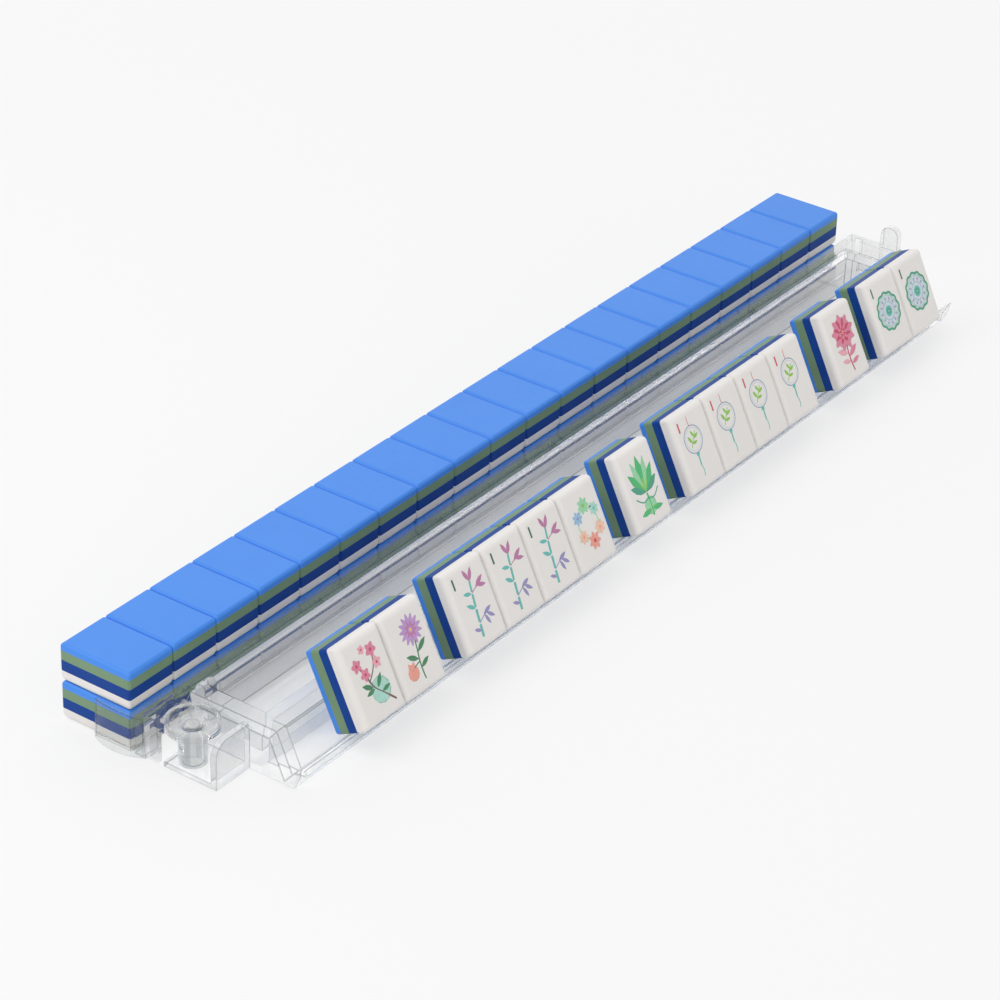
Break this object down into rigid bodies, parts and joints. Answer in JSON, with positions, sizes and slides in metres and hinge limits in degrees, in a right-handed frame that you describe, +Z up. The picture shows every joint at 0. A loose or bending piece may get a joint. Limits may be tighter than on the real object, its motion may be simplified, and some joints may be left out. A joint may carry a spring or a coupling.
{
  "type": "mahjong rack with pusher and tiles",
  "caption": "Clear acrylic mahjong rack with a sloping tile ledge, a trough and a swinging pusher arm, loaded with a hand of tiles and a wall of tiles two high.",
  "frame": {"origin": "bottom centre of the loaded rack's bounding box, on the table", "axes": "+X along the rack from the pusher's pivot to the far end, +Y away from the player, +Z up"},
  "size_m": [0.45, 0.0938, 0.0387],
  "materials": {
    "clear_acrylic": "polished clear acrylic",
    "blue_tile": "polished",
    "white_tile": "polished"
  },
  "bodies": {
    "rack": {"left_end_cap": "clear_acrylic", "pivot_bracket": "clear_acrylic", "pivot_button": "clear_acrylic", "pivot_post": "clear_acrylic", "rack_tray": "clear_acrylic", "right_end_cap": "clear_acrylic"},
    "pusher": {"pusher_arm": "clear_acrylic", "pusher_hub": "clear_acrylic", "knuckle_plate": "clear_acrylic", "end_stop": "clear_acrylic", "end_hook": "clear_acrylic", "thumb_tab": "clear_acrylic", "lower_tiles_1": "blue_tile", "lower_tiles_2": "blue_tile", "lower_tiles_3": "blue_tile", "lower_tiles_4": "blue_tile", "lower_tiles_5": "blue_tile"},
    "hand_tile_01": {"hand_tile_01": "white_tile"},
    "hand_tile_02": {"hand_tile_02": "white_tile"},
    "hand_tile_03": {"hand_tile_03": "white_tile"},
    "hand_tile_04": {"hand_tile_04": "white_tile"},
    "hand_tile_05": {"hand_tile_05": "white_tile"},
    "hand_tile_06": {"hand_tile_06": "white_tile"},
    "hand_tile_07": {"hand_tile_07": "white_tile"},
    "hand_tile_08": {"hand_tile_08": "white_tile"},
    "hand_tile_09": {"hand_tile_09": "white_tile"},
    "hand_tile_10": {"hand_tile_10": "white_tile"},
    "hand_tile_11": {"hand_tile_11": "white_tile"},
    "hand_tile_12": {"hand_tile_12": "white_tile"},
    "hand_tile_13": {"hand_tile_13": "white_tile"},
    "hand_tile_14": {"hand_tile_14": "white_tile"},
    "upper_tile_01": {"upper_tile_01": "blue_tile"},
    "upper_tile_02": {"upper_tile_02": "blue_tile"},
    "upper_tile_03": {"upper_tile_03": "blue_tile"},
    "upper_tile_04": {"upper_tile_04": "blue_tile"},
    "upper_tile_05": {"upper_tile_05": "blue_tile"},
    "upper_tile_06": {"upper_tile_06": "blue_tile"},
    "upper_tile_07": {"upper_tile_07": "blue_tile"},
    "upper_tile_08": {"upper_tile_08": "blue_tile"},
    "upper_tile_09": {"upper_tile_09": "blue_tile"},
    "upper_tile_10": {"upper_tile_10": "blue_tile"},
    "upper_tile_11": {"upper_tile_11": "blue_tile"},
    "upper_tile_12": {"upper_tile_12": "blue_tile"},
    "upper_tile_13": {"upper_tile_13": "blue_tile"},
    "upper_tile_14": {"upper_tile_14": "blue_tile"},
    "upper_tile_15": {"upper_tile_15": "blue_tile"},
    "upper_tile_16": {"upper_tile_16": "blue_tile"},
    "upper_tile_17": {"upper_tile_17": "blue_tile"},
    "upper_tile_18": {"upper_tile_18": "blue_tile"},
    "upper_tile_19": {"upper_tile_19": "blue_tile"},
    "upper_tile_20": {"upper_tile_20": "blue_tile"}
  },
  "joints": [
    {"name": "pusher_swing", "type": "hinge", "parent": "rack", "child": "pusher", "pos_m": [-0.21478, -0.00405, 0.01], "axis": [0, 0, 1], "range_deg": [0, 90]},
    {"name": "hand_tile_01_lift", "type": "slide", "parent": "rack", "child": "hand_tile_01", "axis": [0, 0.4431, 0.8965], "range_m": [0, 0.032]},
    {"name": "hand_tile_02_lift", "type": "slide", "parent": "rack", "child": "hand_tile_02", "axis": [0, 0.4431, 0.8965], "range_m": [0, 0.032]},
    {"name": "hand_tile_03_lift", "type": "slide", "parent": "rack", "child": "hand_tile_03", "axis": [0, 0.4431, 0.8965], "range_m": [0, 0.032]},
    {"name": "hand_tile_04_lift", "type": "slide", "parent": "rack", "child": "hand_tile_04", "axis": [0, 0.4431, 0.8965], "range_m": [0, 0.032]},
    {"name": "hand_tile_05_lift", "type": "slide", "parent": "rack", "child": "hand_tile_05", "axis": [0, 0.4431, 0.8965], "range_m": [0, 0.032]},
    {"name": "hand_tile_06_lift", "type": "slide", "parent": "rack", "child": "hand_tile_06", "axis": [0, 0.4431, 0.8965], "range_m": [0, 0.032]},
    {"name": "hand_tile_07_lift", "type": "slide", "parent": "rack", "child": "hand_tile_07", "axis": [0, 0.4431, 0.8965], "range_m": [0, 0.032]},
    {"name": "hand_tile_08_lift", "type": "slide", "parent": "rack", "child": "hand_tile_08", "axis": [0, 0.4431, 0.8965], "range_m": [0, 0.032]},
    {"name": "hand_tile_09_lift", "type": "slide", "parent": "rack", "child": "hand_tile_09", "axis": [0, 0.4431, 0.8965], "range_m": [0, 0.032]},
    {"name": "hand_tile_10_lift", "type": "slide", "parent": "rack", "child": "hand_tile_10", "axis": [0, 0.4431, 0.8965], "range_m": [0, 0.032]},
    {"name": "hand_tile_11_lift", "type": "slide", "parent": "rack", "child": "hand_tile_11", "axis": [0, 0.4431, 0.8965], "range_m": [0, 0.032]},
    {"name": "hand_tile_12_lift", "type": "slide", "parent": "rack", "child": "hand_tile_12", "axis": [0, 0.4431, 0.8965], "range_m": [0, 0.032]},
    {"name": "hand_tile_13_lift", "type": "slide", "parent": "rack", "child": "hand_tile_13", "axis": [0, 0.4431, 0.8965], "range_m": [0, 0.032]},
    {"name": "hand_tile_14_lift", "type": "slide", "parent": "rack", "child": "hand_tile_14", "axis": [0, 0.4431, 0.8965], "range_m": [0, 0.032]},
    {"name": "upper_tile_01_lift", "type": "slide", "parent": "pusher", "child": "upper_tile_01", "axis": [0, 0, 1], "range_m": [0, 0.018]},
    {"name": "upper_tile_02_lift", "type": "slide", "parent": "pusher", "child": "upper_tile_02", "axis": [0, 0, 1], "range_m": [0, 0.018]},
    {"name": "upper_tile_03_lift", "type": "slide", "parent": "pusher", "child": "upper_tile_03", "axis": [0, 0, 1], "range_m": [0, 0.018]},
    {"name": "upper_tile_04_lift", "type": "slide", "parent": "pusher", "child": "upper_tile_04", "axis": [0, 0, 1], "range_m": [0, 0.018]},
    {"name": "upper_tile_05_lift", "type": "slide", "parent": "pusher", "child": "upper_tile_05", "axis": [0, 0, 1], "range_m": [0, 0.018]},
    {"name": "upper_tile_06_lift", "type": "slide", "parent": "pusher", "child": "upper_tile_06", "axis": [0, 0, 1], "range_m": [0, 0.018]},
    {"name": "upper_tile_07_lift", "type": "slide", "parent": "pusher", "child": "upper_tile_07", "axis": [0, 0, 1], "range_m": [0, 0.018]},
    {"name": "upper_tile_08_lift", "type": "slide", "parent": "pusher", "child": "upper_tile_08", "axis": [0, 0, 1], "range_m": [0, 0.018]},
    {"name": "upper_tile_09_lift", "type": "slide", "parent": "pusher", "child": "upper_tile_09", "axis": [0, 0, 1], "range_m": [0, 0.018]},
    {"name": "upper_tile_10_lift", "type": "slide", "parent": "pusher", "child": "upper_tile_10", "axis": [0, 0, 1], "range_m": [0, 0.018]},
    {"name": "upper_tile_11_lift", "type": "slide", "parent": "pusher", "child": "upper_tile_11", "axis": [0, 0, 1], "range_m": [0, 0.018]},
    {"name": "upper_tile_12_lift", "type": "slide", "parent": "pusher", "child": "upper_tile_12", "axis": [0, 0, 1], "range_m": [0, 0.018]},
    {"name": "upper_tile_13_lift", "type": "slide", "parent": "pusher", "child": "upper_tile_13", "axis": [0, 0, 1], "range_m": [0, 0.018]},
    {"name": "upper_tile_14_lift", "type": "slide", "parent": "pusher", "child": "upper_tile_14", "axis": [0, 0, 1], "range_m": [0, 0.018]},
    {"name": "upper_tile_15_lift", "type": "slide", "parent": "pusher", "child": "upper_tile_15", "axis": [0, 0, 1], "range_m": [0, 0.018]},
    {"name": "upper_tile_16_lift", "type": "slide", "parent": "pusher", "child": "upper_tile_16", "axis": [0, 0, 1], "range_m": [0, 0.018]},
    {"name": "upper_tile_17_lift", "type": "slide", "parent": "pusher", "child": "upper_tile_17", "axis": [0, 0, 1], "range_m": [0, 0.018]},
    {"name": "upper_tile_18_lift", "type": "slide", "parent": "pusher", "child": "upper_tile_18", "axis": [0, 0, 1], "range_m": [0, 0.018]},
    {"name": "upper_tile_19_lift", "type": "slide", "parent": "pusher", "child": "upper_tile_19", "axis": [0, 0, 1], "range_m": [0, 0.018]},
    {"name": "upper_tile_20_lift", "type": "slide", "parent": "pusher", "child": "upper_tile_20", "axis": [0, 0, 1], "range_m": [0, 0.018]}
  ]
}
